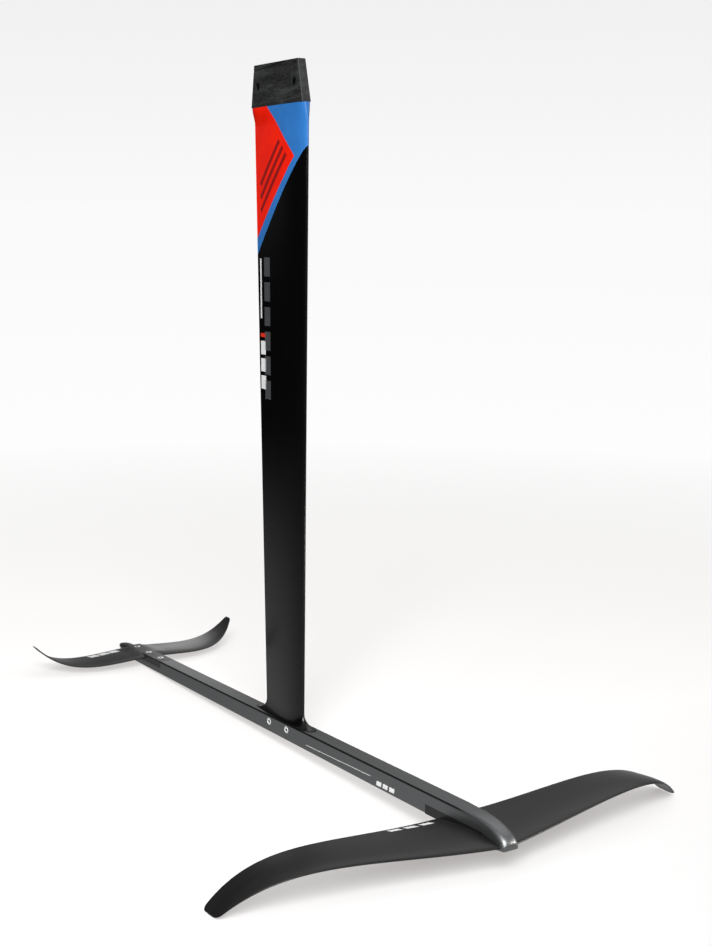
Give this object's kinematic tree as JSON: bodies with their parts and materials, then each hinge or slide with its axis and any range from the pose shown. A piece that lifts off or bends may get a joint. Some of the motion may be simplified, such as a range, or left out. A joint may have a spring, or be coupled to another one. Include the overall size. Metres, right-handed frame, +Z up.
{
  "type": "hydrofoil mast and wing set",
  "caption": "Race windsurf hydrofoil: tall tapered carbon mast with a tapered board head, bolted to a slim aluminium fuselage with a gull front wing and an upswept tail wing.",
  "frame": {"origin": "under the middle of the object: half way along the fuselage from nose tip to rear end, on the plane of symmetry, at the level of the front wing's two tips, which are its lowest points", "axes": "+Z up along the mast towards the board, +Y from the nose to the tail along the fuselage, +X across, from the side with the mast screws to the side with the sleeve nuts; the wings span X"},
  "size_m": [0.7704, 1.1644, 1.0745],
  "materials": {
    "carbon_black": "black satin lacquer over carbon laminate",
    "wing_grey": "soft-touch dark grey coating over carbon laminate",
    "anodised_grey": "bead-blasted and dark grey anodised",
    "head_black": "raw moulded composite with grey rub marks",
    "core_foam": "structural foam, matt",
    "foot_composite": "machined glass and carbon composite",
    "stainless": "bright stainless steel",
    "insert_metal": "machined brass",
    "shim_plastic": "moulded plastic sheet"
  },
  "bodies": {
    "foil": {"fuselage": "anodised_grey", "mast_shell": "carbon_black", "mast_core": "core_foam", "mast_foot": "foot_composite", "board_head": "head_black", "barrel_nut_front": "stainless", "barrel_nut_rear": "stainless", "front_wing": "wing_grey", "tail_wing": "wing_grey", "tail_shim": "shim_plastic", "mast_washer_front": "stainless", "mast_washer_rear": "stainless", "mast_sleeve_nut_front": "insert_metal", "mast_sleeve_nut_rear": "insert_metal", "front_insert_1": "insert_metal", "front_insert_2": "insert_metal", "front_insert_3": "insert_metal", "tail_insert_1": "insert_metal", "tail_insert_2": "insert_metal", "tail_insert_3": "insert_metal"},
    "mast_screw_front_body": {"mast_screw_front": "stainless"},
    "mast_screw_rear_body": {"mast_screw_rear": "stainless"},
    "front_wing_screw_1_body": {"front_wing_screw_1": "stainless"},
    "front_wing_screw_2_body": {"front_wing_screw_2": "stainless"},
    "front_wing_screw_3_body": {"front_wing_screw_3": "stainless"},
    "tail_screw_1_body": {"tail_screw_1": "stainless"},
    "tail_screw_2_body": {"tail_screw_2": "stainless"},
    "tail_screw_3_body": {"tail_screw_3": "stainless"}
  },
  "joints": [
    {"name": "mast_screw_front_out", "type": "slide", "parent": "foil", "child": "mast_screw_front_body", "axis": [-1, 0, 0], "range_m": [0, 0.019]},
    {"name": "mast_screw_rear_out", "type": "slide", "parent": "foil", "child": "mast_screw_rear_body", "axis": [-1, 0, 0], "range_m": [0, 0.019]},
    {"name": "front_wing_screw_1_out", "type": "slide", "parent": "foil", "child": "front_wing_screw_1_body", "axis": [0, 0, -1], "range_m": [0, 0.023]},
    {"name": "front_wing_screw_2_out", "type": "slide", "parent": "foil", "child": "front_wing_screw_2_body", "axis": [0, 0, -1], "range_m": [0, 0.023]},
    {"name": "front_wing_screw_3_out", "type": "slide", "parent": "foil", "child": "front_wing_screw_3_body", "axis": [0, 0, -1], "range_m": [0, 0.023]},
    {"name": "tail_screw_1_out", "type": "slide", "parent": "foil", "child": "tail_screw_1_body", "axis": [0, 0, 1], "range_m": [0, 0.019]},
    {"name": "tail_screw_2_out", "type": "slide", "parent": "foil", "child": "tail_screw_2_body", "axis": [0, 0, 1], "range_m": [0, 0.019]},
    {"name": "tail_screw_3_out", "type": "slide", "parent": "foil", "child": "tail_screw_3_body", "axis": [0, 0, 1], "range_m": [0, 0.019]}
  ]
}
